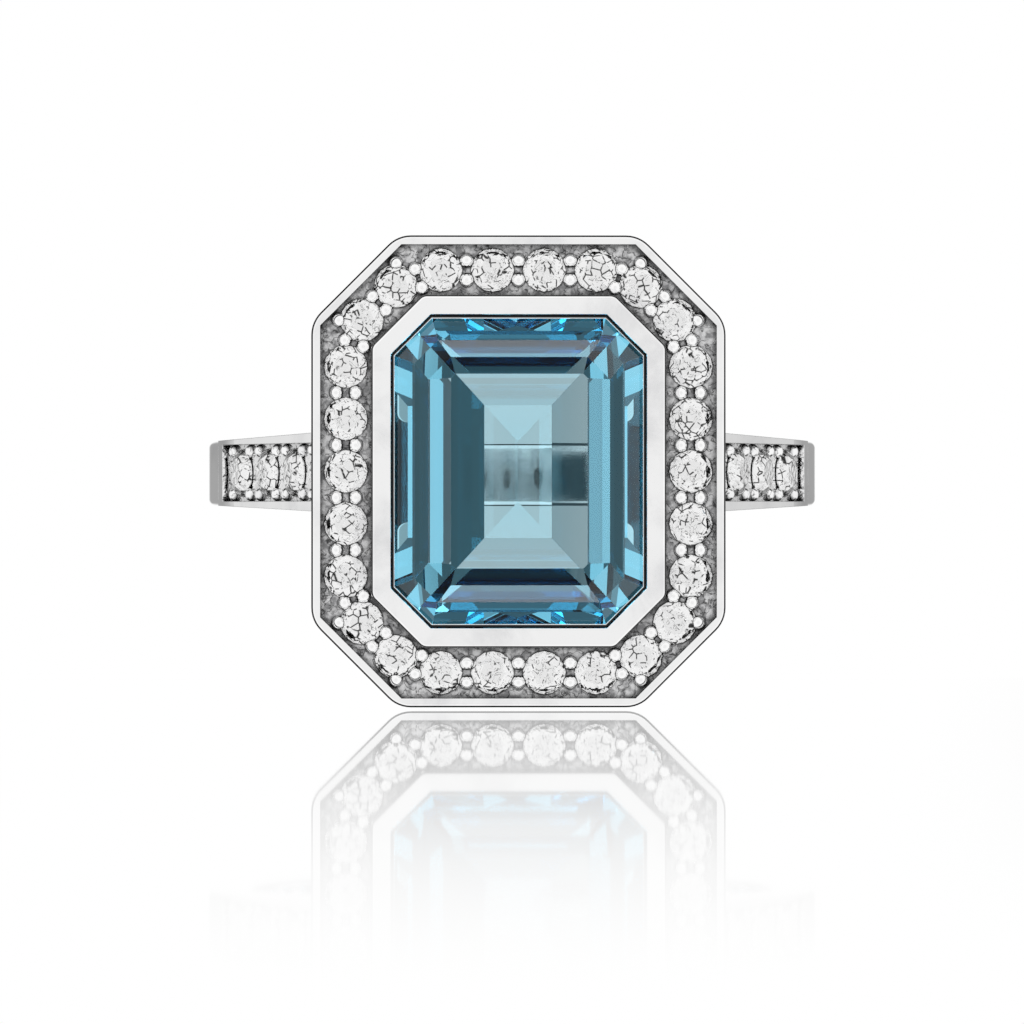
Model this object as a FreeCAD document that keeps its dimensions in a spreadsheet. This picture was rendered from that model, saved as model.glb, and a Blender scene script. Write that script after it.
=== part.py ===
"""Cocktail ring: an emerald-cut blue stone in a bezel, a beaded octagonal halo and a cathedral shank.

The frame: the finger's axis is +Z and passes through the origin, the setting faces -Y, and +X is to
the right of someone who looks at the setting. "Height" below is the distance from the finger's axis
towards -Y, and "across" is the distance along X. Every octagon in the setting is one outline, the
centre stone's, grown or shrunk by an offset.
"""

import FreeCAD, Part
import math
import os

import Sketcher
from FreeCAD import Placement, Rotation, Vector

DIMENSIONS = [
    # the finger and the plain part of the band
    ("finger_diameter", 17.3),
    ("shank_thickness", 1.42),
    ("shank_width", 2.13),
    ("shank_outer_round", 0.22),
    ("shank_inner_round", 0.15),
    # the shoulders: forked castings that rise from the shank to the setting
    ("shoulder_landing", 0.92),
    ("shoulder_heel", 1.58),
    ("shoulder_width", 2.5),
    ("shoulder_strip", 1.35),
    ("shoulder_arch", 1.1),
    ("fork_round", 0.3),
    ("channel_width", 1.85),
    ("channel_depth", 0.3),
    ("channel_end_wall", 0.5),
    ("shoulder_stone_diameter", 1.55),
    ("shoulder_stone_pitch", 2.1),
    ("shoulder_first_stone", 0.1),
    ("shoulder_bead_diameter", 0.44),
    ("shoulder_bead_reach", 0.665),
    # the centre stone, from its girdle: three crown steps rise to the table and three pavilion steps
    # drop to a keel, each step going in by its own amount at the sides, the ends and the corners
    ("stone_width", 8.0),
    ("stone_length", 9.8),
    ("stone_corner", 1.25),
    ("girdle_above_finger", 4.6),
    ("girdle_thickness", 0.15),
    ("crown_rise_one", 0.634),
    ("crown_side_one", 0.756),
    ("crown_end_one", 0.821),
    ("crown_corner_one", 0.741),
    ("crown_rise_two", 0.318),
    ("crown_side_two", 0.423),
    ("crown_end_two", 0.532),
    ("crown_corner_two", 0.658),
    ("crown_rise_three", 0.201),
    ("crown_side_three", 0.699),
    ("crown_end_three", 0.526),
    ("crown_corner_three", 0.469),
    ("pavilion_drop_one", 1.439),
    ("pavilion_side_one", 1.325),
    ("pavilion_end_one", 1.053),
    ("pavilion_corner_one", 0.719),
    ("pavilion_drop_two", 1.275),
    ("pavilion_side_two", 1.615),
    ("pavilion_end_two", 1.760),
    ("pavilion_corner_two", 1.336),
    ("pavilion_drop_three", 0.331),
    ("keel_length", 1.88),
    # the bezel that holds it
    ("bezel_wall", 0.6),
    ("bezel_depth", 1.65),
    ("bezel_rise", 0.4),
    ("bezel_round", 0.12),
    ("bezel_corner_round", 0.35),
    ("bearing_width", 0.45),
    ("lip_cover", 0.13),
    ("bright_cut_width", 0.045),
    ("bright_cut_drop", 0.09),
    ("seat_clearance", 0.015),
    # the halo: a rim wall round a plate that is drilled for small stones
    ("halo_channel", 1.6),
    ("rim_wall", 0.28),
    ("rim_drop", 0.55),
    ("rim_height", 1.3),
    ("rim_round", 0.12),
    ("rim_corner_round", 1.0),
    ("bed_depth", 0.32),
    ("plate_thickness", 0.78),
    ("halo_stone_wall_gap", 0.125),
    ("halo_stone_proud", 0.05),
    ("side_pitch", 1.64),
    ("end_pitch", 1.62),
    ("corner_pitch", 1.5),
    ("bead_diameter", 0.45),
    ("bead_pair_gap", 0.17),
    ("bead_wall_gap", 0.03),
    ("corner_bead_reach", 0.73),
    ("light_hole_diameter", 0.8),
    # the pierced gallery under the bezel
    ("gallery_taper", 1.4),
    ("gallery_wall", 0.7),
    ("gallery_skirt", 0.65),
    ("finger_relief", 0.2),
    ("window_base", 0.85),
    ("window_head", 0.65),
    ("end_window_width", 4.2),
    ("end_window_flare", 0.45),
    ("side_window_near", 1.6),
    ("side_window_far", 3.1),
    ("window_round", 0.3),
]
SIDE_STONES = 5
END_STONES = 4
SHOULDER_STONES = 4
ROOT_TWO = math.sqrt(2)
CORNER_GROWTH = 2 - ROOT_TWO  # how much a 45 degree corner's leg grows for each mm of offset
TOUCH = 1e-4  # points nearer than this are the same point

doc = FreeCAD.newDocument("cocktail_ring")
sheet = doc.addObject("Spreadsheet::Sheet", "dims")
for row, (alias, value) in enumerate(DIMENSIONS, 1):
    sheet.set(f"A{row}", alias)
    sheet.set(f"B{row}", str(value))
    sheet.setAlias(f"B{row}", alias)
doc.recompute()
size = {alias: float(sheet.get(alias)) for alias, _ in DIMENSIONS}

# Heights and offsets that several pieces share, as spreadsheet expressions
FINGER = "dims.finger_diameter / 2"
SHANK_OUTSIDE = "dims.finger_diameter / 2 + dims.shank_thickness"
GIRDLE = f"{FINGER} + dims.girdle_above_finger"
BEZEL_TOP = f"{GIRDLE} + dims.bezel_rise"
BEZEL_FOOT = f"{GIRDLE} - dims.bezel_depth"
RIM_TOP = f"{BEZEL_TOP} - dims.rim_drop"
BED = f"{RIM_TOP} - dims.bed_depth"
PLATE_FOOT = f"({BED} - dims.plate_thickness)"
GALLERY_FOOT = f"{FINGER} - dims.gallery_skirt"
BEZEL_EDGE = "dims.bezel_wall"
PLATE_EDGE = "dims.bezel_wall + dims.halo_channel"
RIM_EDGE = "dims.bezel_wall + dims.halo_channel + dims.rim_wall"

finished = []


def value_of(expression):
    """The number that a spreadsheet expression gives, worked out in a spare cell of the sheet."""
    sheet.set("D1", "=" + expression.replace("dims.", ""))
    sheet.recompute()
    found = sheet.get("D1")
    return float(getattr(found, "Value", found))


def finish(piece, label):
    """Names a finished sub-part: its label becomes its file's name."""
    piece.Label = label
    finished.append(piece)
    return piece


# ---------------------------------------------------------------- sketches and features


def new_body(name):
    return doc.addObject("PartDesign::Body", name)


def origin_plane(body, role):
    return next(f for f in body.Origin.OriginFeatures if f.Role == role)


def new_sketch(body, name, role, height=None):
    """A sketch on one of the body's own planes. On XZ_Plane, height lifts it along -Y."""
    sketch = body.newObject("Sketcher::SketchObject", name)
    sketch.AttachmentSupport = (origin_plane(body, role), [""])
    sketch.MapMode = "FlatFace"
    if height is not None:
        sketch.setExpression("AttachmentOffset.Base.z", height)
    return sketch


def bind(sketch, constraint, name, expression):
    index = sketch.addConstraint(constraint)
    sketch.renameConstraint(index, name)
    sketch.setExpression(f"Constraints.{name}", expression)


def add_octagon(sketch, offset):
    """The centre stone's outline, grown by an offset or by three: for its sides, ends and corners."""
    side, end, corner = (offset,) * 3 if isinstance(offset, str) else offset
    width = f"dims.stone_width / 2 + ({side})"
    length = f"dims.stone_length / 2 + ({end})"
    cut = f"dims.stone_corner + ({side}) + ({end}) - {ROOT_TWO} * ({corner})"
    half_x, half_y, leg = value_of(width), value_of(length), value_of(cut)
    quarter = [(half_x, half_y - leg), (half_x - leg, half_y)]
    corners = quarter + [(-x, y) for x, y in reversed(quarter)]
    corners += [(-x, -y) for x, y in corners]
    points = [Vector(x, y, 0) for x, y in corners]
    lines = [
        sketch.addGeometry(Part.LineSegment(points[i], points[(i + 1) % 8]), False)
        for i in range(8)
    ]
    for i in range(8):
        sketch.addConstraint(Sketcher.Constraint("Coincident", lines[i], 2, lines[(i + 1) % 8], 1))
    horizontal, vertical = -1, -2
    for first, second, axis in (
        (0, 3, vertical), (1, 2, vertical), (0, 7, horizontal),
        (1, 6, horizontal), (3, 4, horizontal), (2, 5, horizontal),
    ):
        sketch.addConstraint(
            Sketcher.Constraint("Symmetric", lines[first], 1, lines[second], 1, axis)
        )
    distance = Sketcher.Constraint
    bind(sketch, distance("DistanceX", -1, 1, lines[0], 1, half_x), "half_width", width)
    bind(sketch, distance("DistanceY", -1, 1, lines[1], 1, half_y), "half_length", length)
    bind(sketch, distance("DistanceX", lines[1], 1, lines[0], 1, leg), "corner_x", cut)
    bind(sketch, distance("DistanceY", lines[0], 1, lines[1], 1, leg), "corner_y", cut)


def add_polygon(sketch, points):
    """A closed outline whose corners are given as pairs of expressions, each bound to the sheet."""
    places = [Vector(value_of(x), value_of(y), 0) for x, y in points]
    count = len(places)
    lines = [
        sketch.addGeometry(Part.LineSegment(places[i], places[(i + 1) % count]), False)
        for i in range(count)
    ]
    for i in range(count):
        sketch.addConstraint(
            Sketcher.Constraint("Coincident", lines[i], 2, lines[(i + 1) % count], 1)
        )
    first = sketch.ConstraintCount
    for i, (x, y) in enumerate(points):
        for kind, expression, place in (("X", x, places[i].x), ("Y", y, places[i].y)):
            bind(sketch, Sketcher.Constraint(f"Distance{kind}", -1, 1, lines[i], 1, place),
                 f"p{first}_{i}{kind.lower()}", expression)


def pad(body, sketch, length, midplane=False):
    feature = body.newObject("PartDesign::Pad", sketch.Name + "_pad")
    feature.Profile = sketch
    feature.setExpression("Length", length)
    feature.Midplane = midplane
    return feature


def pocket_through(body, sketch, midplane=True):
    """Cuts the sketch right through the body, both ways."""
    feature = body.newObject("PartDesign::Pocket", sketch.Name + "_pocket")
    feature.Profile = sketch
    feature.Type = 1
    feature.Midplane = midplane
    return feature


def loft(body, kind, name, first, last):
    feature = body.newObject(f"PartDesign::{kind}Loft", name)
    feature.Profile = first
    feature.Sections = [last]
    feature.Ruled = True
    return feature


def octagon_prism(body, name, offset, foot, top):
    sketch = new_sketch(body, name, "XZ_Plane", foot)
    add_octagon(sketch, offset)
    return pad(body, sketch, f"{top} - ({foot})")


def octagon_pocket(body, name, offset):
    sketch = new_sketch(body, name, "XZ_Plane", "0")
    add_octagon(sketch, offset)
    return pocket_through(body, sketch)


def octagon_taper(body, kind, name, offset_a, height_a, offset_b, height_b):
    """A ruled loft between two octagons, added or taken away."""
    sections = []
    for letter, offset, height in (("a", offset_a, height_a), ("b", offset_b, height_b)):
        sketch = new_sketch(body, f"{name}_{letter}", "XZ_Plane", height)
        add_octagon(sketch, offset)
        sections.append(sketch)
    return loft(body, kind, name, *sections)


def fillet_edges(body, name, radius, wanted):
    """Rounds those edges of the body's last feature for which wanted(edge) is true."""
    doc.recompute()
    base = body.Tip
    names = [f"Edge{i}" for i, edge in enumerate(base.Shape.Edges, 1) if wanted(edge)]
    feature = body.newObject("PartDesign::Fillet", name)
    feature.Base = (base, names)
    feature.setExpression("Radius", radius)
    return feature


def height_of(point):
    return -point.y


def near(a, b):
    return abs(a - b) < TOUCH


def runs_along_height(edge):
    a, b = (v.Point for v in edge.Vertexes[:2]) if len(edge.Vertexes) == 2 else (None, None)
    return a is not None and near(a.x, b.x) and near(a.z, b.z)


def lies_at_height(edge, height):
    return all(near(height_of(v.Point), height) for v in edge.Vertexes)


# ---------------------------------------------------------------- stones


def solid_of(faces):
    """A closed solid from flat polygons, with faces that share a plane joined into one."""
    shell = Part.Shell([Part.Face(Part.makePolygon(list(p) + [p[0]])) for p in faces])
    solid = Part.Solid(shell).removeSplitter()
    if solid.Volume < 0:
        solid.reverse()
    return solid


def without_repeats(points):
    return [p for i, p in enumerate(points) if (p - points[i - 1]).Length > TOUCH]


def corner_leg(side, end, corner, _):
    """The leg of the centre stone's cut corners where its facets are so far in, or less than 0."""
    return size["stone_corner"] - side - end + ROOT_TWO * corner


def facet_ring(side, end, corner, level):
    """The eight corners of the centre stone at a level, its three kinds of facet being so far in."""
    half_x = max(size["stone_width"] / 2 - side, 0.0)
    half_y = size["stone_length"] / 2 - end
    leg = max(corner_leg(side, end, corner, level), 0.0)
    quarter = [(half_x, half_y - leg), (half_x - leg, half_y)]
    ring = quarter + [(-x, y) for x, y in reversed(quarter)]
    ring += [(-x, -y) for x, y in ring]
    return [Vector(x, y, level) for x, y in ring]


def steps_in(part, move, sign):
    """(side, end, corner, level) after each step of the crown or pavilion, added up."""
    reached = [(0.0, 0.0, 0.0, 0.0)]
    for step in ("one", "two", "three"):
        if f"{part}_side_{step}" in size:
            moves = [size[f"{part}_{kind}_{step}"] for kind in ("side", "end", "corner")]
        else:  # the last pavilion step runs in to the keel, and its corners have ended by then
            sides, ends, _, _ = reached[-1]
            keel_end = (size["stone_length"] - size["keel_length"]) / 2
            moves = [size["stone_width"] / 2 - sides, keel_end - ends, 0.0]
        moves.append(sign * size[f"{part}_{move}_{step}"])
        reached.append(tuple(a + b for a, b in zip(reached[-1], moves)))
    return reached


def step_cut():
    """An emerald cut. Its own frame: the table faces +Z and the girdle's foot is at level 0."""
    down = steps_in("pavilion", "drop", -1)
    # a ring where the corner facets run out to a point, between the steps above and below
    upper, lower = next(
        pair for pair in zip(down, down[1:]) if corner_leg(*pair[0]) > 0 >= corner_leg(*pair[1])
    )
    share = corner_leg(*upper) / (corner_leg(*upper) - corner_leg(*lower))
    point = tuple(a + share * (b - a) for a, b in zip(upper, lower))
    down.insert(down.index(lower), point)
    up = [(*insets, level + size["girdle_thickness"])
          for *insets, level in steps_in("crown", "rise", 1)]
    rings = [facet_ring(*ring) for ring in down[::-1] + up]
    faces = [rings[-1]]
    for below, above in zip(rings, rings[1:]):
        for i in range(8):
            j = (i + 1) % 8
            face = without_repeats([below[i], below[j], above[j], above[i]])
            if len(face) > 2:
                faces.append(face)
    return solid_of(faces)


# A round brilliant's proportions, as shares of its girdle radius
TABLE, STAR, HALF_MEET = 0.56, 0.8, 0.24
CROWN, GIRDLE_BAND, PAVILION = 0.31, 0.05, 0.86


def round_brilliant(diameter):
    """A round brilliant of 56 facets and a 16-sided girdle. The girdle's middle is at level 0."""
    radius = diameter / 2
    band = GIRDLE_BAND * radius / 2
    top, foot = CROWN * radius + band, -PAVILION * radius - band
    half_turn = math.radians(22.5)

    def at(share, steps, level):
        turn = steps * half_turn
        return Vector(share * radius * math.cos(turn), share * radius * math.sin(turn), level)

    star_share = (STAR * math.cos(half_turn) - TABLE) / (1 - TABLE)
    star_level = top - star_share * (top - band)
    meet_level = foot + HALF_MEET * math.cos(half_turn) * (-band - foot)
    table = [at(TABLE, 2 * k, top) for k in range(8)]
    star = [at(STAR, 2 * k + 1, star_level) for k in range(8)]
    meet = [at(HALF_MEET, 2 * k + 1, meet_level) for k in range(8)]
    upper = [at(1, i, band) for i in range(16)]
    lower = [at(1, i, -band) for i in range(16)]
    culet = Vector(0, 0, foot)
    faces = [table]
    for k in range(8):
        following = (k + 1) % 8
        tips = (2 * k, 2 * k + 1, (2 * k + 2) % 16)
        faces.append([table[k], table[following], star[k]])
        faces.append([table[k], star[k - 1], upper[tips[0]], star[k]])
        faces.append([culet, meet[k - 1], lower[tips[0]], meet[k]])
        for a, b in zip(tips, tips[1:]):
            faces.append([star[k], upper[a], upper[b]])
            faces.append([meet[k], lower[a], lower[b]])
            faces.append([upper[a], upper[b], lower[b], lower[a]])
    return solid_of(faces)


def seat_cutter(diameter, through):
    """The room that a round stone needs, grown by the seat's clearance, with a light hole below it."""
    spare = size["seat_clearance"]
    radius = diameter / 2
    band = GIRDLE_BAND * radius / 2
    top, foot = CROWN * radius + band, -PAVILION * radius - band
    above = top + diameter
    outline = [
        (0, foot - spare), (radius + spare, -band - spare), (radius + spare, band + spare),
        (TABLE * radius + spare, top + spare), (TABLE * radius + spare, above), (0, above),
    ]
    points = [Vector(r, 0, level) for r, level in outline]
    face = Part.Face(Part.makePolygon(points + points[:1]))
    cutter = face.revolve(Vector(0, 0, 0), Vector(0, 0, 1), 360)
    hole = Part.makeCylinder(size["light_hole_diameter"] / 2, through, Vector(0, 0, -through))
    return cutter.fuse(hole).removeSplitter()


def frame_at(across, height, along, outward):
    """A placement whose local +Z is outward in the plane of the ring and whose local +Y is +Z."""
    z_axis = outward.normalize()
    y_axis = Vector(0, 0, 1)
    x_axis = y_axis.cross(z_axis)
    return Placement(Vector(across, -height, along), Rotation(x_axis, y_axis, z_axis, "ZYX"))


def add_shape(name, shape, placement):
    """A Part::Feature that holds a shape made by the functions above."""
    piece = doc.addObject("Part::Feature", name)
    piece.Shape = shape
    piece.Placement = placement
    return piece


# ---------------------------------------------------------------- the shank


def make_shank():
    """The plain part of the band: a rounded strip bent round the back of the finger."""
    body = new_body("shank")
    sketch = new_sketch(body, "shank_section", "YZ_Plane")
    half = "dims.shank_width / 2"
    add_polygon(sketch, [
        (FINGER, f"-{half}"), (SHANK_OUTSIDE, f"-{half}"), (SHANK_OUTSIDE, half), (FINGER, half),
    ])
    turn = body.newObject("PartDesign::Revolution", "shank_bend")
    turn.Profile = sketch
    turn.ReferenceAxis = (sketch, ["V_Axis"])
    turn.setExpression("Angle", f"2 * (180 - {joint_angle()})")
    turn.Midplane = True
    outside = value_of(SHANK_OUTSIDE)
    inside = value_of(FINGER)

    def is_long_edge(edge, radius):
        return hasattr(edge.Curve, "Radius") and near(edge.Curve.Radius, radius)

    fillet_edges(body, "shank_outer_fillet", "dims.shank_outer_round",
                 lambda e: is_long_edge(e, outside))
    fillet_edges(body, "shank_inner_fillet", "dims.shank_inner_round",
                 lambda e: is_long_edge(e, inside))
    finish(body, "shank")


# ---------------------------------------------------------------- the shoulders


def bezel_side():
    """How far across the bezel's outer side wall is."""
    return size["stone_width"] / 2 + size["bezel_wall"]


def shoulder_slope():
    """The slope, in degrees, of the tangent to the shank's circle that lands on the halo plate."""
    landing = Vector(bezel_side() + size["shoulder_landing"], value_of(PLATE_FOOT), 0)
    lean = math.atan2(landing.x, landing.y)
    return math.degrees(lean + math.acos(value_of(SHANK_OUTSIDE) / landing.Length))


def joint_angle():
    """Where shank and shoulder meet, in degrees round the finger from the middle of the setting."""
    return shoulder_slope() + math.degrees(size["shoulder_heel"] / value_of(SHANK_OUTSIDE))


def shoulder_path():
    """The shoulder's top line: the point where it leaves the shank's circle, its way and its normal."""
    slope = math.radians(shoulder_slope())
    radius = value_of(SHANK_OUTSIDE)
    start = Vector(radius * math.sin(slope), -radius * math.cos(slope), 0)
    along = Vector(-math.cos(slope), -math.sin(slope), 0)
    outward = Vector(math.sin(slope), -math.cos(slope), 0)
    return start, along, outward


def gallery_side():
    """The gallery's side wall, outside, as (lean, across at height 0): across = base + lean * height."""
    foot, top = value_of(GALLERY_FOOT), value_of(BEZEL_FOOT)
    lean = size["gallery_taper"] / (top - foot)
    return lean, bezel_side() - lean * top


def meets_gallery(radius):
    """The point of a circle round the finger's axis that lies on the gallery's side wall."""
    lean, base = gallery_side()
    grade = 1 + lean**2
    height = (math.sqrt(grade * radius**2 - base**2) - base * lean) / grade
    return Vector(base + lean * height, -height, 0)


def on_circle(radius, degrees):
    turn = math.radians(degrees)
    return Vector(radius * math.sin(turn), -radius * math.cos(turn), 0)


def arc_through(radius, first, last):
    """The arc of a circle round the finger's axis between two of its points."""
    middle = (first + last).normalize() * radius
    return Part.Arc(first, middle, last).toShape()


def shoulder_outline():
    """Side view of one shoulder: a strip that rises to the halo and an arch that follows the finger."""
    start, along, outward = shoulder_path()
    inner, outer = value_of(FINGER), value_of(SHANK_OUTSIDE)
    arch = inner + size["shoulder_arch"]
    joint = joint_angle()
    top, bezel_foot = value_of(PLATE_FOOT), value_of(BEZEL_FOOT)
    tip = start + along * ((top + start.y) / -along.y)
    under = start - outward * size["shoulder_strip"]
    lean, base = gallery_side()
    leaves = under + along * ((base - lean * under.y - under.x) / (along.x + lean * along.y))
    # the crotch is where the underside is as far out as the arch's outside
    drop = under.dot(along)
    crotch = under + along * (-drop + math.sqrt(drop**2 - under.dot(under) + arch**2))
    arch_end, finger_end = meets_gallery(arch), meets_gallery(inner)
    corner = Vector(bezel_side(), -top, 0)
    shelf = Vector(bezel_side(), -bezel_foot, 0)
    joint_out, joint_in = on_circle(outer, joint), on_circle(inner, joint)
    edges = [
        arc_through(outer, joint_out, start),
        Part.makeLine(start, tip),
        Part.makeLine(tip, corner),
        Part.makeLine(corner, shelf),
        Part.makeLine(shelf, leaves),
        Part.makeLine(leaves, crotch),
        arc_through(arch, crotch, arch_end),
        Part.makeLine(arch_end, finger_end),
        arc_through(inner, finger_end, joint_in),
        Part.makeLine(joint_in, joint_out),
    ]
    return Part.Wire(edges), crotch


def channel_outline():
    """Side view of the channel that is cut into a shoulder's top."""
    start, along, outward = shoulder_path()
    outer, deep = value_of(SHANK_OUTSIDE), size["channel_depth"]
    wall = math.degrees(size["channel_end_wall"] / outer)
    end = joint_angle() - wall
    spare = 1.0  # how far the cutter stands clear of the metal
    reach = (value_of(PLATE_FOOT) + start.y) / -along.y + spare
    floor = outer - deep
    floor_start = start - outward * deep
    edges = [
        arc_through(floor, on_circle(floor, end), floor_start),
        Part.makeLine(floor_start, floor_start + along * reach),
        Part.makeLine(floor_start + along * reach, start + (along * reach + outward * spare)),
        Part.makeLine(start + (along * reach + outward * spare), start + outward * spare),
        arc_through(outer + spare, start + outward * spare, on_circle(outer + spare, end)),
        Part.makeLine(on_circle(outer + spare, end), on_circle(floor, end)),
    ]
    return Part.Wire(edges)


def plate_of(wire, width):
    """A wire in the ring's plane, as a slab of that width centred on it."""
    face = Part.Face(wire)
    face.translate(Vector(0, 0, -width / 2))
    return face.extrude(Vector(0, 0, width))


def shoulder_seats(side):
    """Placements of one shoulder's stones, from the shank's end upwards. Side is 1 right, -1 left."""
    start, along, outward = shoulder_path()
    girdle = start - outward * (size["channel_depth"] - size["halo_stone_proud"])
    places = []
    for i in range(SHOULDER_STONES):
        middle = girdle + along * (size["shoulder_first_stone"] + i * size["shoulder_stone_pitch"])
        places.append(frame_at(side * middle.x, -middle.y, 0, Vector(side * outward.x, outward.y, 0)))
    return places


def shoulder_beads():
    """Four beads round each stone, on the channel's floor beside its rails."""
    start, along, outward = shoulder_path()
    floor = start - outward * size["channel_depth"]
    radius = size["shoulder_bead_diameter"] / 2
    side = size["channel_width"] / 2 - radius
    beads = []
    for i in range(SHOULDER_STONES):
        stone = size["shoulder_first_stone"] + i * size["shoulder_stone_pitch"]
        for reach in (stone - size["shoulder_bead_reach"], stone + size["shoulder_bead_reach"]):
            for row in (-side, side):
                beads.append(Part.makeSphere(radius, floor + along * reach + Vector(0, 0, row)))
    return beads


def make_shoulders():
    """Two mirrored castings, each with a channel, its floor's beads and its stones' seats."""
    outline, crotch = shoulder_outline()
    slab = plate_of(outline, size["shoulder_width"])
    crotch_edges = [
        e for e in slab.Edges
        if all(near(v.Point.x, crotch.x) and near(v.Point.y, crotch.y) for v in e.Vertexes)
    ]
    slab = slab.makeFillet(size["fork_round"], crotch_edges)
    blank = add_shape("shoulder_blank", slab, Placement())
    # seen from the front, the shoulder narrows from the halo's edge to the shank's width
    halo_edge = size["stone_width"] / 2 + value_of(RIM_EDGE)
    joint = on_circle(value_of(SHANK_OUTSIDE), joint_angle())
    narrow, wide, far = size["shank_width"] / 2, size["shoulder_width"] / 2, 30.0
    trims = []
    for side in (1, -1):
        taper = [(halo_edge, wide), (joint.x, narrow), (far, narrow), (far, far), (halo_edge, far)]
        points = [Vector(x, far, side * z) for x, z in taper]
        face = Part.Face(Part.makePolygon(points + points[:1]))
        trims.append(face.extrude(Vector(0, -2 * far, 0)))
    channel = plate_of(channel_outline(), size["channel_width"])
    cutters = add_shape("shoulder_trims", Part.makeCompound(trims + [channel]), Placement())
    cut = doc.addObject("Part::Cut", "shoulder_channel")
    cut.Base, cut.Tool = blank, cutters
    beads = add_shape("shoulder_beads", Part.makeCompound(shoulder_beads()), Placement())
    beaded = doc.addObject("Part::Fuse", "shoulder_beaded")
    beaded.Base, beaded.Tool = cut, beads
    cutter = seat_cutter(size["shoulder_stone_diameter"], size["shoulder_strip"] * 2)
    holes = []
    for place in shoulder_seats(1):
        hole = cutter.copy()
        hole.Placement = place
        holes.append(hole)
    seats = add_shape("shoulder_seats", Part.makeCompound(holes), Placement())
    right = doc.addObject("Part::Cut", "shoulder_right")
    right.Base, right.Tool = beaded, seats
    left = doc.addObject("Part::Mirroring", "shoulder_left")
    left.Source = right
    left.Normal = Vector(1, 0, 0)
    finish(right, "shoulder_right")
    finish(left, "shoulder_left")


def make_shoulder_stones():
    brilliant = round_brilliant(size["shoulder_stone_diameter"])
    for name, side in (("right", 1), ("left", -1)):
        for i, place in enumerate(shoulder_seats(side), 1):
            finish(add_shape(f"{name}_{i}", brilliant, place), f"shoulder_stone_{name}_{i}")


# ---------------------------------------------------------------- the centre stone and its bezel


def make_centre_stone():
    place = frame_at(0, value_of(GIRDLE), 0, Vector(0, -1, 0))
    finish(add_shape("centre_stone", step_cut(), place), "centre_stone")


def make_bezel():
    """A straight-walled collar with a bearing under the girdle and a lip over it."""
    body = new_body("bezel")
    octagon_prism(body, "bezel_wall", BEZEL_EDGE, BEZEL_FOOT, BEZEL_TOP)
    fillet_edges(body, "bezel_corners", "dims.bezel_corner_round", runs_along_height)
    top = value_of(BEZEL_TOP)
    fillet_edges(body, "bezel_top_edge", "dims.bezel_round", lambda e: lies_at_height(e, top))
    # the bearing and the lip follow the stone's first pavilion and crown steps
    bearing = "dims.bearing_width / dims.pavilion_side_one"
    lip = "dims.lip_cover / dims.crown_side_one"
    throat = tuple(f"-dims.pavilion_{kind}_one * {bearing}" for kind in ("side", "end", "corner"))
    lip_edge = tuple(f"-dims.crown_{kind}_one * {lip}" for kind in ("side", "end", "corner"))
    octagon_pocket(body, "bezel_throat", throat)
    spare = "dims.seat_clearance"
    seat_foot = f"{GIRDLE} - {spare}"
    girdle_top = f"{GIRDLE} + dims.girdle_thickness + {spare}"
    lip_top = f"{girdle_top} + dims.crown_rise_one * {lip}"
    octagon_taper(body, "Subtractive", "bezel_bearing", spare, seat_foot,
                  throat, f"{seat_foot} - dims.pavilion_drop_one * {bearing}")
    octagon_taper(body, "Subtractive", "bezel_seat", spare, seat_foot, spare, girdle_top)
    octagon_taper(body, "Subtractive", "bezel_lip", spare, girdle_top, lip_edge, lip_top)
    # a flat ledge round the stone, and a steep bright cut from it up to the bezel's top
    cut_foot = f"{BEZEL_TOP} - dims.bright_cut_drop"
    octagon_taper(body, "Subtractive", "bezel_ledge", lip_edge, lip_top,
                  "-dims.bright_cut_width", cut_foot)
    octagon_taper(body, "Subtractive", "bezel_bright_cut", "-dims.bright_cut_width", cut_foot,
                  "0", BEZEL_TOP)
    finish(body, "bezel")


# ---------------------------------------------------------------- the halo


def make_halo_rim():
    body = new_body("halo_rim")
    octagon_prism(body, "rim_wall", RIM_EDGE, f"{RIM_TOP} - dims.rim_height", RIM_TOP)
    fillet_edges(body, "rim_corners", "dims.rim_corner_round", runs_along_height)
    top = value_of(RIM_TOP)
    fillet_edges(body, "rim_top_edge", "dims.rim_round", lambda e: lies_at_height(e, top))
    octagon_pocket(body, "rim_inside", PLATE_EDGE)
    finish(body, "halo_rim")


def halo_centres():
    """The halo's stones as (across, along), anticlockwise from the lowest one on the right side."""
    half_x = size["stone_width"] / 2 + size["bezel_wall"] + size["halo_channel"] / 2
    half_y = size["stone_length"] / 2 + size["bezel_wall"] + size["halo_channel"] / 2
    leg = size["stone_corner"] + CORNER_GROWTH * (size["bezel_wall"] + size["halo_channel"] / 2)
    corner = (half_x - leg / 2, half_y - leg / 2)
    shift = size["corner_pitch"] / 2 / math.sqrt(2)
    sides = [(i - (SIDE_STONES - 1) / 2) * size["side_pitch"] for i in range(SIDE_STONES)]
    ends = [(i - (END_STONES - 1) / 2) * size["end_pitch"] for i in range(END_STONES)]
    low, high = (corner[0] + shift, corner[1] - shift), (corner[0] - shift, corner[1] + shift)
    right = [(half_x, y) for y in sides] + [low, high]
    top = [(x, half_y) for x in reversed(ends)]
    half_turn = right + top + [(-x, y) for x, y in (high, low)]
    return half_turn + [(-x, -y) for x, y in half_turn]


def halo_stone_diameter():
    return size["halo_channel"] - 2 * size["halo_stone_wall_gap"]


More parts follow.
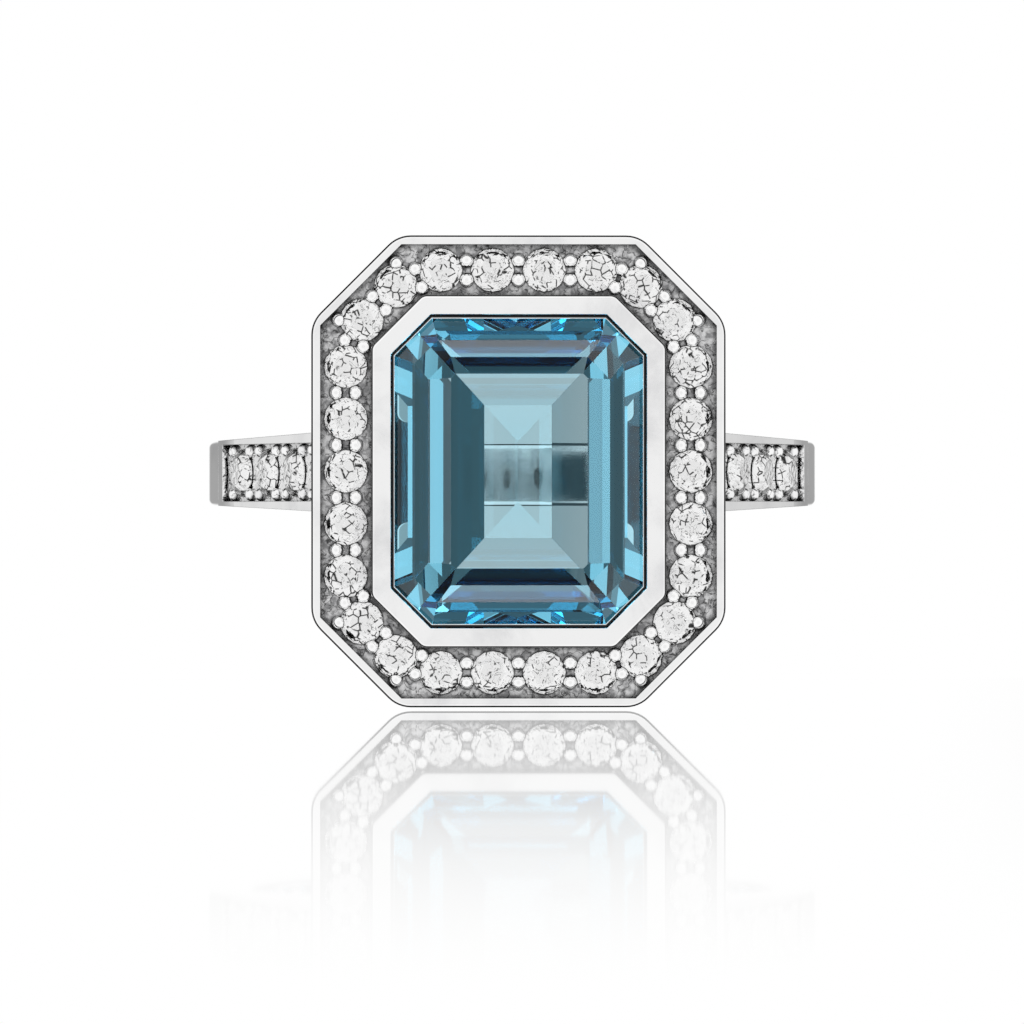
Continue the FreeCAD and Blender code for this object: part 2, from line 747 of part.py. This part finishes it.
def kept_in_channel(place):
    """A bead's place, moved clear of the bezel or the rim if it is nearer than the beads' wall gap."""
    half_x, half_y = size["stone_width"] / 2, size["stone_length"] / 2
    sides = [
        (Vector(math.copysign(1, place.x), 0, 0), half_x),
        (Vector(0, math.copysign(1, place.y), 0), half_y),
        (Vector(math.copysign(1, place.x), math.copysign(1, place.y), 0).normalize(),
         (half_x + half_y - size["stone_corner"]) / math.sqrt(2)),
    ]
    offset, outward = max((place.dot(normal) - reach, tuple(normal)) for normal, reach in sides)
    spare = size["bead_diameter"] / 2 + size["bead_wall_gap"]
    low = size["bezel_wall"] + spare
    high = size["bezel_wall"] + size["halo_channel"] - spare
    return place + Vector(*outward) * (min(max(offset, low), high) - offset)


def halo_bead_places():
    """A bead each side of every gap between neighbours, and one more outside at each corner stone."""
    centres = halo_centres()
    spread = (size["bead_diameter"] + size["bead_pair_gap"]) / 2
    places = []
    for i, (x, y) in enumerate(centres):
        nx, ny = centres[(i + 1) % len(centres)]
        along = Vector(nx - x, ny - y, 0).normalize()
        outward = Vector(along.y, -along.x, 0)
        middle = Vector((x + nx) / 2, (y + ny) / 2, 0)
        places += [middle + outward * spread, middle - outward * spread]
    last_x, last_y = max(x for x, _ in centres), max(y for _, y in centres)
    for x, y in centres:
        if near(abs(x), last_x) or near(abs(y), last_y):
            continue
        beside_long_side = last_x - abs(x) < last_y - abs(y)
        across, along = (math.copysign(1, x), 0) if beside_long_side else (0, math.copysign(1, y))
        away = Vector(across, along, 0)
        places.append(Vector(x, y, 0) + away * size["corner_bead_reach"])
    return [kept_in_channel(place) for place in places]


def make_halo_plate():
    """The drilled plate: a light hole and a bearing for each stone, and beads raised round them."""
    body = new_body("plate_blank")
    octagon_prism(body, "plate_outside", PLATE_EDGE, PLATE_FOOT, BED)
    octagon_pocket(body, "plate_inside", BEZEL_EDGE)
    bed = value_of(BED)
    girdle = bed + size["halo_stone_proud"]
    beads = [
        Part.makeSphere(size["bead_diameter"] / 2, Vector(p.x, -bed, p.y))
        for p in halo_bead_places()
    ]
    grains = add_shape("plate_beads", Part.makeCompound(beads), Placement())
    beaded = doc.addObject("Part::MultiFuse", "plate_beaded")
    beaded.Shapes = [body, grains]
    cutter = seat_cutter(halo_stone_diameter(), size["plate_thickness"] * 2)
    holes = []
    for x, y in halo_centres():
        hole = cutter.copy()
        hole.Placement = frame_at(x, girdle, y, Vector(0, -1, 0))
        holes.append(hole)
    seats = add_shape("plate_seats", Part.makeCompound(holes), Placement())
    plate = doc.addObject("Part::Cut", "halo_plate")
    plate.Base, plate.Tool = beaded, seats
    finish(plate, "halo_plate")


def make_halo_stones():
    brilliant = round_brilliant(halo_stone_diameter())
    girdle = value_of(BED) + size["halo_stone_proud"]
    for i, (x, y) in enumerate(halo_centres(), 1):
        place = frame_at(x, girdle, y, Vector(0, -1, 0))
        finish(add_shape(f"halo_{i}", brilliant, place), f"halo_stone_{i:02d}")


# ---------------------------------------------------------------- the gallery


def make_gallery():
    """A tapered octagonal collar, pierced on all four sides and hollowed to the finger below."""
    body = new_body("gallery")
    foot_edge = f"{BEZEL_EDGE} - dims.gallery_taper"
    octagon_taper(body, "Additive", "gallery_outside", BEZEL_EDGE, BEZEL_FOOT,
                  foot_edge, GALLERY_FOOT)
    octagon_taper(body, "Subtractive", "gallery_inside", f"{BEZEL_EDGE} - dims.gallery_wall",
                  BEZEL_FOOT, f"{foot_edge} - dims.gallery_wall", GALLERY_FOOT)
    relief = new_sketch(body, "finger_relief", "XY_Plane")
    relieved = f"{FINGER} + dims.finger_relief"
    radius = value_of(relieved)
    circle = relief.addGeometry(Part.Circle(Vector(0, 0, 0), Vector(0, 0, 1), radius), False)
    relief.addConstraint(Sketcher.Constraint("Coincident", circle, 3, -1, 1))
    bind(relief, Sketcher.Constraint("Radius", circle, radius), "radius", relieved)
    pocket_through(body, relief)
    base = f"-({relieved} + dims.window_base)"
    head = f"-({BEZEL_FOOT} - dims.window_head)"
    narrow = "dims.end_window_width / 2"
    wide = f"{narrow} + dims.end_window_flare"
    end_window = new_sketch(body, "end_window", "XY_Plane")
    add_polygon(end_window, [(narrow, base), (wide, head), (f"-({wide})", head), (f"-{narrow}", base)])
    pocket_through(body, end_window)
    for name, sign in (("upper", ""), ("lower", "-")):
        window = new_sketch(body, f"{name}_side_window", "YZ_Plane")
        near_edge, far_edge = f"{sign}dims.side_window_near", f"{sign}dims.side_window_far"
        add_polygon(window, [(base, near_edge), (base, far_edge), (head, far_edge), (head, near_edge)])
        pocket_through(body, window)

    def is_window_corner(edge):
        if len(edge.Vertexes) != 2:
            return False
        a, b = (v.Point for v in edge.Vertexes)
        straight = (near(a.x, b.x) and near(a.y, b.y)) or (near(a.z, b.z) and near(a.y, b.y))
        level = height_of(a)
        corner_heights = (-value_of(base), -value_of(head))
        crosses_wall = edge.Length < 2 * size["gallery_wall"]
        return straight and crosses_wall and any(near(level, h) for h in corner_heights)

    fillet_edges(body, "window_corners", "dims.window_round", is_window_corner)
    finish(body, "gallery")


# ---------------------------------------------------------------- building and writing


def check(piece):
    if {"Invalid", "Error"} & set(piece.State):
        raise RuntimeError(f"{piece.Label} failed: {piece.State}")


def main():
    make_shank()
    make_shoulders()
    make_gallery()
    make_bezel()
    make_halo_rim()
    make_halo_plate()
    make_centre_stone()
    make_halo_stones()
    make_shoulder_stones()
    doc.recompute()
    for piece in doc.Objects:
        check(piece)
    for piece in finished:
        if piece.Shape.isNull() or not piece.Shape.isValid() or not piece.Shape.Solids:
            raise RuntimeError(f"{piece.Label} has no valid solid")
    os.makedirs("parts", exist_ok=True)
    for piece in finished:
        piece.Shape.exportStep(f"parts/{piece.Label}.step")
        print(piece.Label, len(piece.Shape.Solids), round(piece.Shape.Volume, 4))


main()
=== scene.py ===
"""A cocktail ring: a blue emerald-cut stone in a bezel, a halo of small clear stones, a stone-set band."""

import math
import bpy
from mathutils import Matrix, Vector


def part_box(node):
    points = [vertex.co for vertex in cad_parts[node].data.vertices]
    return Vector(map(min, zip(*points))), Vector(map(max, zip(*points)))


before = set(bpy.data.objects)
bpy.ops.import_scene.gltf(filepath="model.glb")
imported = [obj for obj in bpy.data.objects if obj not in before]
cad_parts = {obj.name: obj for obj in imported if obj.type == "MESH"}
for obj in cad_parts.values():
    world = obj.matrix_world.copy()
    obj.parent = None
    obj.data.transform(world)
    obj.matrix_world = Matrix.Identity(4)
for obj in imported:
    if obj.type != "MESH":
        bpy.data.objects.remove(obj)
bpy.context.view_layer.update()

# ---------------------------------------------------------------- the view
# The ring is looked at square on, from the height of its band, through a long lens, as it would be
# for a catalogue. The stones need many bounces, because light turns over inside them several times.

MM = 0.001
DISTANCE = 217 * MM
FRAME_WIDTH = 32 * MM  # what the lens takes in, at the top of the halo
LOOK_ASIDE = math.radians(0.9)
AIM_DROP = 1.27 * MM
STONE_BOUNCES = 24

scene = bpy.context.scene
halo_low, halo_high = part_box("halo_rim")

lens = bpy.data.cameras.new("catalogue_lens")
lens.sensor_width = 36.0
lens.lens = lens.sensor_width * (DISTANCE + halo_low.y) / FRAME_WIDTH
lens.clip_start = 0.01
lens.clip_end = 20.0
camera = bpy.data.objects.new("catalogue_camera", lens)
scene.collection.objects.link(camera)
camera.location = (-DISTANCE * math.sin(LOOK_ASIDE), -DISTANCE, -AIM_DROP)
camera.rotation_euler = (math.radians(90), 0, -LOOK_ASIDE)
scene.camera = camera

scene.view_settings.view_transform = "Standard"
scene.cycles.max_bounces = STONE_BOUNCES
scene.cycles.transmission_bounces = STONE_BOUNCES
scene.cycles.glossy_bounces = 12
scene.cycles.diffuse_bounces = 4
scene.cycles.caustics_reflective = True
scene.cycles.caustics_refractive = True
scene.cycles.sample_clamp_indirect = 6.0


# ---------------------------------------------------------------- the room
# A white studio. The metal sees an almost even room with one dark band beyond the ring's sides, which
# draws a thin dark line round every edge and bead. The stones, which send back light from every side,
# see rings of light and shade round the lens, so that their facets stand out from each other.

class Wire:
    """A node's output that can be used in sums: each operation adds its Math node."""

    def __init__(self, bench, socket):
        self.bench = bench
        self.socket = socket

    def maths(self, operation, *operands):
        return self.bench.add("ShaderNodeMath", {"operation": operation}, dict(enumerate(operands)))

    def __add__(self, other):
        return self.maths("ADD", self, other)

    def __radd__(self, other):
        return self.maths("ADD", other, self)

    def __sub__(self, other):
        return self.maths("SUBTRACT", self, other)

    def __rsub__(self, other):
        return self.maths("SUBTRACT", other, self)

    def __mul__(self, other):
        return self.maths("MULTIPLY", self, other)

    def __rmul__(self, other):
        return self.maths("MULTIPLY", other, self)

    def __truediv__(self, other):
        return self.maths("DIVIDE", self, other)

    def __neg__(self):
        return self * -1.0

    def __abs__(self):
        return self.maths("ABSOLUTE", self)

    def larger(self, other):
        return self.maths("MAXIMUM", self, other)

    def half_turns(self):
        """The angle that has this cosine, in half turns."""
        return self.maths("ARCCOSINE", self) / math.pi

    def step(self, low, high):
        """0 below low and 1 above high, with a smooth rise between them."""
        return self.bench.add("ShaderNodeMapRange", {"interpolation_type": "SMOOTHSTEP"},
                              {"Value": self, "From Min": low, "From Max": high})

    def within(self, low, high, fade):
        """1 from low to high, and 0 further than fade outside them."""
        return self.step(low - fade, low) * (1.0 - self.step(high, high + fade))

    def ridge(self, width):
        """1 along the lines where the wire is one half, falling to 0 at width from them."""
        return 1.0 - abs(self - 0.5).step(0.0, width)

    def between(self, low, high):
        """Low where the wire is 0 and high where it is 1."""
        return self * (high - low) + low


def grey(level):
    return (level, level, level, 1.0)


class Bench:
    """A node tree and the one way that nodes are added to it."""

    def __init__(self, tree):
        self.tree = tree
        tree.nodes.clear()

    def add(self, kind, settings=None, sockets=None, out=0):
        node = self.tree.nodes.new(kind)
        for name, value in (settings or {}).items():
            if name == "stops":
                ramp = node.color_ramp
                while len(ramp.elements) < len(value):
                    ramp.elements.new(1.0)
                for element, (place, level) in zip(ramp.elements, value):
                    element.position = place
                    element.color = grey(level)
            else:
                setattr(node, name, value)
        for name, value in (sockets or {}).items():
            if isinstance(value, Wire):
                self.tree.links.new(value.socket, node.inputs[name])
            else:
                node.inputs[name].default_value = value
        return Wire(self, node.outputs[out]) if node.outputs else None

    def mix(self, share, first, second):
        """A colour between two, by share."""
        return self.add("ShaderNodeMix", {"data_type": "RGBA"}, {0: share, 6: first, 7: second}, out=2)

    def split(self, vector, axes="XYZ"):
        """The parts of a vector along the axes, one wire each."""
        return [self.add("ShaderNodeSeparateXYZ", sockets={"Vector": vector}, out=a) for a in axes]

    def noise(self, spot, scale, **sockets):
        return self.add("ShaderNodeTexNoise", sockets={"Vector": spot, "Scale": scale, **sockets})


WHITE = grey(1.0)
# how bright the studio is, from straight behind the camera, 0, to straight behind the ring, 1
ABOVE_AND_BELOW = [
    (0.0, 0.9), (0.1, 0.88), (0.2, 1.0), (0.46, 1.0), (0.52, 0.5), (0.57, 0.05), (0.84, 0.04),
    (0.9, 0.5), (0.965, 1.0),
]
BESIDE = [
    (0.0, 0.9), (0.1, 0.88), (0.2, 1.0), (0.71, 0.95), (0.76, 0.5), (0.8, 0.38), (0.93, 0.38),
    (0.97, 1.0),
]
AROUND_STONES = [
    (0.0, 0.1), (0.13, 0.15), (0.16, 0.9), (0.2, 0.9), (0.22, 0.15), (0.29, 0.15), (0.31, 2.8),
    (0.37, 2.8), (0.39, 0.3), (0.44, 0.3), (0.46, 1.2), (0.49, 0.15), (0.6, 0.3), (0.8, 0.65),
]

world = bpy.data.worlds.new("studio")
scene.world = world
world.use_nodes = True
room = Bench(world.node_tree)
way = room.add("ShaderNodeTexCoord", out="Generated")
aside, away, rise = room.split(way)
turned = (-away).half_turns()
upright = room.add("ShaderNodeValToRGB", {"stops": ABOVE_AND_BELOW}, {"Fac": turned})
level_with = room.add("ShaderNodeValToRGB", {"stops": BESIDE}, {"Fac": turned})
flatness = (aside * aside) / (aside * aside + rise * rise + 0.0001)
around_metal = room.mix(flatness.step(0.45, 0.8), upright, level_with)
around_stones = room.add("ShaderNodeValToRGB", {"stops": AROUND_STONES}, {"Fac": turned})
through = room.add("ShaderNodeLightPath", out="Is Transmission Ray")
mirrored = room.add("ShaderNodeLightPath", out="Is Singular Ray")
level = room.mix(through.larger(mirrored), around_metal, around_stones)
lit = room.add("ShaderNodeBackground", sockets={"Color": level, "Strength": 1.0})
plain = room.add("ShaderNodeBackground", sockets={"Color": WHITE, "Strength": 1.0})
seen = room.add("ShaderNodeLightPath", out="Is Camera Ray")
backdrop = room.add("ShaderNodeMixShader", sockets={0: seen, 1: lit, 2: plain})
room.add("ShaderNodeOutputWorld", sockets={"Surface": backdrop})


# ---------------------------------------------------------------- the floor
# A white acrylic table just below the halo. It is lit from inside, so it stays as white as the wall
# behind, and its polish gives the ring a faint mirror image that is lost towards the front.

def finish_of(name):
    """A new material, its empty bench and the wire of places on the piece."""
    material = bpy.data.materials.new(name)
    material.use_nodes = True
    bench = Bench(material.node_tree)
    return material, bench, bench.add("ShaderNodeTexCoord", out="Object")


FLOOR_HALF = 3.0
FLOOR_GAP = 0.06 * MM
MIRRORED = 0.6  # how much of the image the acrylic sends back where it is best polished
floor_top = halo_low.z - FLOOR_GAP
corners = [
    (side * FLOOR_HALF, end * FLOOR_HALF, floor_top)
    for side, end in ((-1, -1), (1, -1), (1, 1), (-1, 1))
]
floor_mesh = bpy.data.meshes.new("acrylic_table")
floor_mesh.from_pydata(corners, [], [(0, 1, 2, 3)])
floor = bpy.data.objects.new("acrylic_table", floor_mesh)
scene.collection.objects.link(floor)
acrylic, bench, spot = finish_of("white_acrylic")
forward, = bench.split(spot, "Y")
polish = forward.step(-0.135, -0.01) * (1.0 - forward.step(0.02, 0.03)) * MIRRORED
glow = bench.add("ShaderNodeEmission", sockets={"Color": WHITE, "Strength": 1.0})
mirror = bench.add("ShaderNodeBsdfGlossy", sockets={"Color": WHITE, "Roughness": 0.02})
surface = bench.add("ShaderNodeMixShader", sockets={0: polish, 1: glow, 2: mirror})
bench.add("ShaderNodeOutputMaterial", sockets={"Surface": surface})
floor_mesh.materials.append(acrylic)
# the underside of the ring looks at dark cloth, not at the lit table
floor.visible_glossy = False
floor.visible_transmission = False
floor.visible_diffuse = False


# ---------------------------------------------------------------- the shank
# The plain back of the band, cast in silver, rhodium-plated and polished to a mirror. It is soldered
# to the shoulders at both ends. Fine hairlines from wear run round the finger.

CROWN_RISE = 1.153 * MM
GIRDLE_THICKNESS = 0.15 * MM
stone_low, stone_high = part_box("centre_stone")
girdle_top = -stone_low.y - CROWN_RISE
girdle = girdle_top - GIRDLE_THICKNESS
FADE = 0.01 * MM


def dress(names, material):
    for name in names:
        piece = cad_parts[name]
        piece.data.materials.clear()
        piece.data.materials.append(material)


def rhodium(name, grain, hairline=0.5, edge=0.04 * MM, roll=None, inside=1.0, shade_reach=0.0):
    """Polished plating. Grain is how its hairlines are stretched along x, y and z, and hairline is
    how strong they are. Edge is the width that wear has rounded. Roll, two heights, is the band under
    a rolled top edge where a thin dark line of painted shade is drawn. Inside is the share of full
    brightness at which the faces that look at the setting's middle, below the stone, are painted as
    shade. Shade reach, a length, is how far from a corner the colour is darkened as painted shade."""
    material, bench, spot = finish_of(name)
    across, back, along = bench.split(spot)
    height = -back
    stretched = bench.add("ShaderNodeMapping", sockets={"Vector": spot, "Scale": grain})
    lines = bench.noise(stretched, 1500.0, Detail=4.0, Roughness=0.6)
    scuffs = bench.noise(spot, 420.0, Detail=5.0, Roughness=0.62, Distortion=0.3)
    handled = scuffs.step(0.42, 0.72)
    worn = lines.step(0.6, 0.85)
    colour = bench.mix(scuffs.step(0.42, 0.85), grey(0.96), (0.74, 0.74, 0.75, 1))
    # painted shade: a thin dark line along the band under the rolled top edge
    if roll:
        foot, top = roll
        line = height.within(foot + FADE, top - FADE, FADE)
        colour = bench.mix(line, colour, grey(0.02))
    # painted shade: the faces that look at the setting's middle, below the stone, are darkened
    if inside < 1.0:
        facing = bench.add("ShaderNodeNewGeometry", out="True Normal")
        out_x, out_z = bench.split(facing, "XZ")
        inward = -(out_x * across + out_z * along)
        below_stone = 1.0 - height.step(girdle - 0.05 * MM, girdle)
        deep = inward.step(0.0, 0.5 * MM) * below_stone
        colour = bench.mix(deep, colour, (inside, inside, inside * 1.01, 1))
    # painted shade: the colour darkens towards corners found by occlusion, with darker streaks near them
    if shade_reach:
        openness = bench.add("ShaderNodeAmbientOcclusion", {"samples": 8}, {"Distance": shade_reach}, out="AO")
        shade_streaks = bench.noise(spot, 3200.0).ridge(0.03) * (1.0 - openness.step(0.75, 0.95))
        unshaded = openness.step(0.12, 0.65) * (1.0 - shade_streaks)
        colour = bench.mix(unshaded, grey(0.14), colour)
    soft = bench.add("ShaderNodeBevel", {"samples": 4}, {"Radius": edge})
    relief = bench.add("ShaderNodeBump", sockets={
        "Height": lines * 0.6 + scuffs * 0.4, "Strength": 0.06 * hairline, "Distance": 0.02 * MM,
        "Normal": soft,
    })
    skin = bench.add("ShaderNodeBsdfPrincipled", sockets={
        "Base Color": colour, "Metallic": 1.0, "Normal": relief,
        "Roughness": handled.between(0.035, 0.09) + worn * 0.05 * hairline,
    })
    bench.add("ShaderNodeOutputMaterial", sockets={"Surface": skin})
    return material


dress(["shank"], rhodium("rhodium_band", (0.15, 0.15, 3.0)))


# ---------------------------------------------------------------- the shoulders
# Two forked castings between the band and the setting, of the same plated silver. Their rails are
# drawn along with a polishing stick, and towards the corners between the rails the colour is
# darkened as painted shade.

dress(["shoulder_right", "shoulder_left"],
      rhodium("rhodium_shoulders", (0.3, 0.3, 2.5), shade_reach=0.45 * MM))


# ---------------------------------------------------------------- the gallery
# The pierced collar that carries the bezel over the finger. It is cast with the shoulders and
# barrel-polished, and its faces that look inward below the stone are painted grey as shade.

EVEN = (1.0, 1.0, 1.0)
# how bright the inward faces of gallery and bezel are painted, as shade
DIM = 0.3
dress(["gallery"], rhodium("rhodium_gallery", EVEN, hairline=0.8, inside=DIM))


# ---------------------------------------------------------------- the bezel
# The collar round the centre stone. Its lip is pressed down over the stone's girdle, then filed
# flat, polished and cut bright on the inside. A thin dark line of painted shade runs under its top
# edge, and its faces that look at the middle below the stone are painted grey as shade.

ROLL_ROUND = 0.12 * MM
CRISP = 0.02 * MM
bezel_low, bezel_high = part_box("bezel")
bezel_top = -bezel_low.y
dress(["bezel"], rhodium("rhodium_bezel", EVEN, hairline=0.6, edge=CRISP, inside=DIM,
                         roll=(bezel_top - ROLL_ROUND, bezel_top - 0.02 * MM)))


# ---------------------------------------------------------------- the halo's rim
# The wall outside the small stones, a milled strip of the same plated silver with a rolled top
# edge. It is soldered round the plate.

# a thin dark line of painted shade is drawn under the rim's rolled top edge
rim_top = -halo_low.y
dress(["halo_rim"], rhodium("rhodium_rim", EVEN, edge=CRISP,
                            roll=(rim_top - ROLL_ROUND, rim_top - 0.015 * MM)))


# ---------------------------------------------------------------- the halo's plate
# The drilled plate under the small stones. A graver has cut the metal down between the stones and
# left it grey, rough and scored with dark strokes, and in its hollows the colour is darkened almost
# to black as painted shade; the beads that hold the stones are raised above it and burnished round.

BEAD_RADIUS = 0.225 * MM
plate_low, plate_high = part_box("halo_plate")
bed = -plate_low.y - BEAD_RADIUS

plate, bench, spot = finish_of("graved_plate")
back, = bench.split(spot, "Y")
height = -back
burnished = height.step(bed + 0.05 * MM, bed + 0.11 * MM)
graved = height.step(bed - 0.3 * MM, bed - 0.1 * MM)
cuts = bench.noise(spot, 6500.0, Detail=3.0, Roughness=0.7)
strokes = bench.noise(spot, 3000.0, Detail=3.0, Distortion=0.6)
patches = bench.noise(spot, 5200.0, Detail=4.0)
# painted shade: where the bed is closed in its colour goes almost black; graver strokes are drawn dark
openness = bench.add("ShaderNodeAmbientOcclusion", {"samples": 8}, {"Distance": 0.4 * MM}, out="AO")
open_bed = openness.step(0.35, 0.75) * (1.0 - strokes.ridge(0.035) * 0.8)
colour = bench.mix(patches.step(0.35, 0.65), (0.28, 0.28, 0.285, 1), (0.75, 0.75, 0.755, 1))
colour = bench.mix(open_bed, grey(0.012), colour)
colour = bench.mix(graved, (0.82, 0.82, 0.825, 1), colour)
colour = bench.mix(burnished, colour, grey(0.95))
relief = bench.add("ShaderNodeBump", sockets={
    "Height": cuts * graved.between(0.12, 1.0) * (1.0 - burnished), "Strength": 0.6,
    "Distance": 0.03 * MM,
})
skin = bench.add("ShaderNodeBsdfPrincipled", sockets={
    "Base Color": colour, "Metallic": 1.0, "Normal": relief,
    "Roughness": graved.between(0.16, 0.45) * (1.0 - burnished) + burnished * 0.06,
})
bench.add("ShaderNodeOutputMaterial", sockets={"Surface": skin})
dress(["halo_plate"], plate)


# ---------------------------------------------------------------- the centre stone
# A sky-blue topaz in an emerald cut. Its facets are polished flat, their edges are a little rubbed,
# and its girdle is left frosted. It sits on the bezel's ledge under the lip.

RUBBED_SHARE = 0.35
topaz, bench, spot = finish_of("blue_topaz")
back, = bench.split(spot, "Y")
frosted = (-back).within(girdle, girdle_top, FADE)
worn_edge = bench.add("ShaderNodeBevel", {"samples": 4}, {"Radius": 0.028 * MM})
facet = bench.add("ShaderNodeNewGeometry", out="Normal")
likeness = bench.add("ShaderNodeVectorMath", {"operation": "DOT_PRODUCT"},
                     {0: worn_edge, 1: facet}, out="Value")
rubbed = 1.0 - likeness.step(0.93, 0.995)
polished = bench.add("ShaderNodeBsdfPrincipled", sockets={
    "Base Color": WHITE, "Transmission Weight": 1.0, "IOR": 1.62, "Roughness": frosted * 0.35,
})
bloom = bench.add("ShaderNodeBsdfPrincipled", sockets={
    "Base Color": (0.75, 0.93, 1.0, 1), "Roughness": 0.6,
})
surface = bench.add("ShaderNodeMixShader", sockets={0: rubbed * RUBBED_SHARE, 1: polished, 2: bloom})
tint = bench.add("ShaderNodeVolumeAbsorption", sockets={
    "Color": (0.0, 0.78, 0.978, 1), "Density": 132.0,
})
bench.add("ShaderNodeOutputMaterial", sockets={"Surface": surface, "Volume": tint})
dress(["centre_stone"], topaz)


# ---------------------------------------------------------------- the small stones
# Colourless round brilliants, in the halo and along the shoulders, each held by the beads round it.
# They are cut small and fast, so their facets are a little uneven; the fine dark lines across them
# are painted reflections drawn into the colour.

clear, bench, spot = finish_of("clear_brilliant")
facets = bench.add("ShaderNodeTexVoronoi", {"feature": "DISTANCE_TO_EDGE"},
                   {"Vector": spot, "Scale": 3800.0, "Randomness": 1.0})
drift = bench.noise(spot, 3800.0, Detail=2.0)
stray_noise = bench.noise(spot, 5200.0, Detail=2.0, Distortion=0.8)
# painted reflections: dark lines along the cells' edges and stray dark lines, drawn into the colour
facet_lines = (1.0 - facets.step(0.02, 0.11)) * drift.step(0.5, 0.56)
stray_lines = stray_noise.ridge(0.025) * (1.0 - drift.step(0.4, 0.52))
painted_reflection_lines = 1.0 - (1.0 - facet_lines) * (1.0 - stray_lines)
relief = bench.add("ShaderNodeBump", sockets={
    "Height": facets, "Strength": 0.5, "Distance": 0.03 * MM,
})
body = bench.add("ShaderNodeBsdfPrincipled", sockets={
    "Base Color": bench.mix(painted_reflection_lines, WHITE, grey(0.015)), "Transmission Weight": 1.0, "IOR": 2.15,
    "Roughness": 0.02, "Metallic": 0.85, "Normal": relief,
})
bench.add("ShaderNodeOutputMaterial", sockets={"Surface": body})
dress([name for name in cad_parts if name.startswith(("halo_stone", "shoulder_stone"))], clear)
